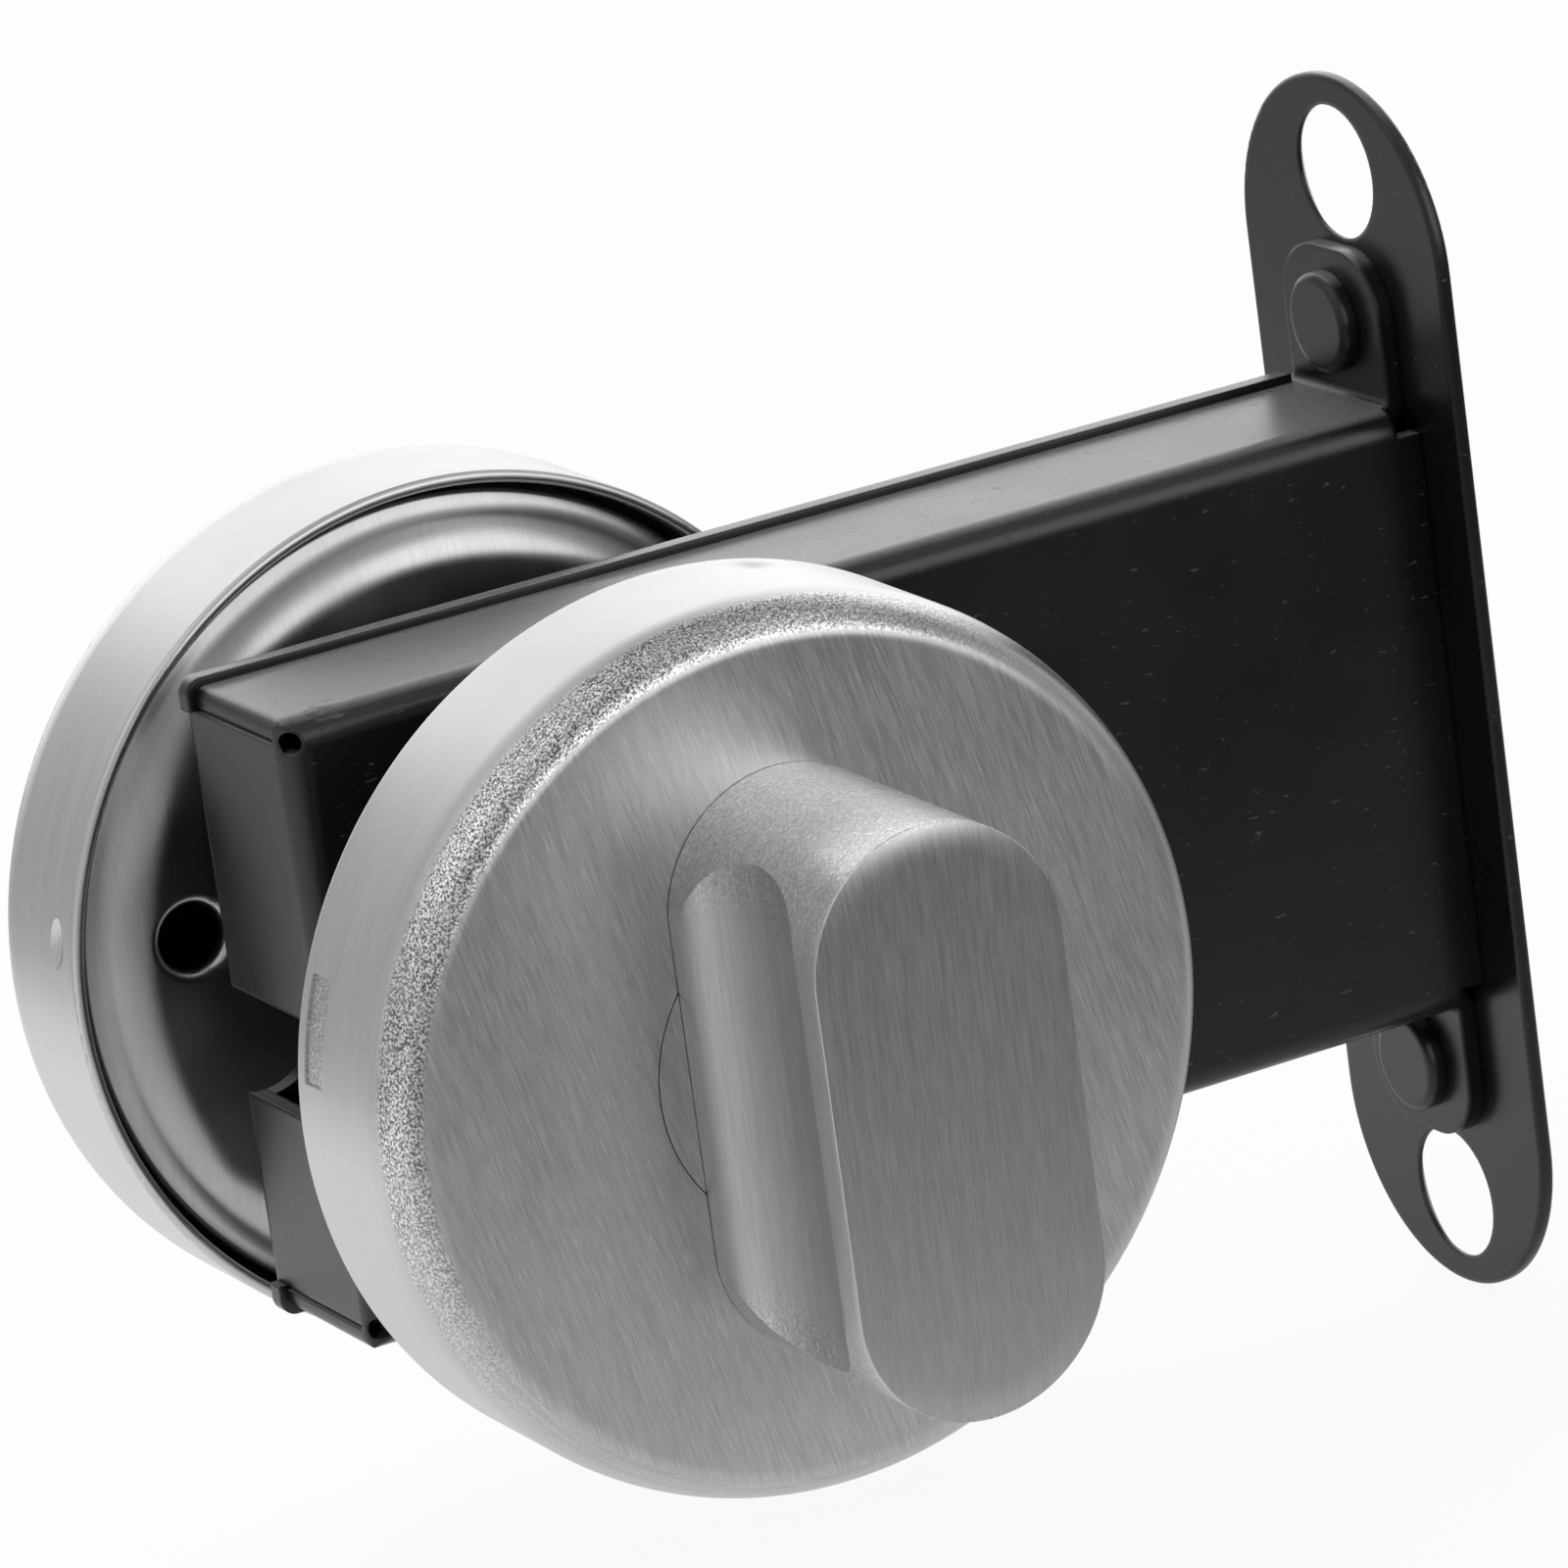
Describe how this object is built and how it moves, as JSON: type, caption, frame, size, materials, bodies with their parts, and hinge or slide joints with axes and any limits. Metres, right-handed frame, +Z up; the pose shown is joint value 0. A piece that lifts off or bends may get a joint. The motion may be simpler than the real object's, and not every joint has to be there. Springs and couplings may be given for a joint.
{
  "type": "toilet indicator bolt",
  "caption": "Mortice toilet bolt: a black bolt case and forend between two round satin steel roses, one with a thumbturn, one with an indicator window and coin release.",
  "frame": {"origin": "middle of the bolt's slot on the forend's back face, midway between its two screw holes", "axes": "+X leaves the door's edge in the bolt's direction of travel, +Y points to the outside (indicator) face of the door, +Z is up"},
  "size_m": [0.0865, 0.075, 0.0792],
  "materials": {
    "black_paint": "satin",
    "satin_steel": "brushed",
    "plain_steel": "satin",
    "bolt_metal": "satin",
    "white_plastic": "matt",
    "black_plastic": "matt",
    "clear_plastic": "clear",
    "green_film": "satin",
    "red_film": "satin"
  },
  "bodies": {
    "lock": {"case_tray": "black_paint", "case_cover": "black_paint", "forend_plate": "black_paint", "forend_rivets": "black_paint", "case_pillars": "plain_steel", "cover_screws": "plain_steel", "guide_post": "plain_steel", "detent_spring": "plain_steel", "inside_rose_cover": "satin_steel", "inside_rose_plate": "plain_steel", "outside_rose_cover": "satin_steel", "outside_rose_plate": "plain_steel", "window_lens": "clear_plastic"},
    "turn": {"thumbturn_knob": "satin_steel", "turn_collar": "satin_steel", "thrust_washer": "white_plastic", "knob_circlip": "plain_steel", "grub_screw": "plain_steel", "spindle": "plain_steel", "follower": "plain_steel", "drive_pin": "plain_steel", "indicator_disc": "black_plastic", "vacant_film": "green_film", "engaged_film": "red_film", "release_turn": "satin_steel", "release_circlip": "plain_steel"},
    "bolt": {"deadbolt": "bolt_metal"}
  },
  "joints": [
    {"name": "thumb_turn", "type": "hinge", "parent": "lock", "child": "turn", "pos_m": [-0.0585, 0, -0.0013], "axis": [0, 1, 0], "range_deg": [0, 90]},
    {"name": "bolt_throw", "type": "slide", "parent": "lock", "child": "bolt", "axis": [1, 0, 0], "range_m": [0, 0.012], "deforming": ["detent_spring"]}
  ],
  "couplings": [
    {"joint": "bolt_throw", "follows": "thumb_turn", "m_per_rad": 0.0076394}
  ]
}
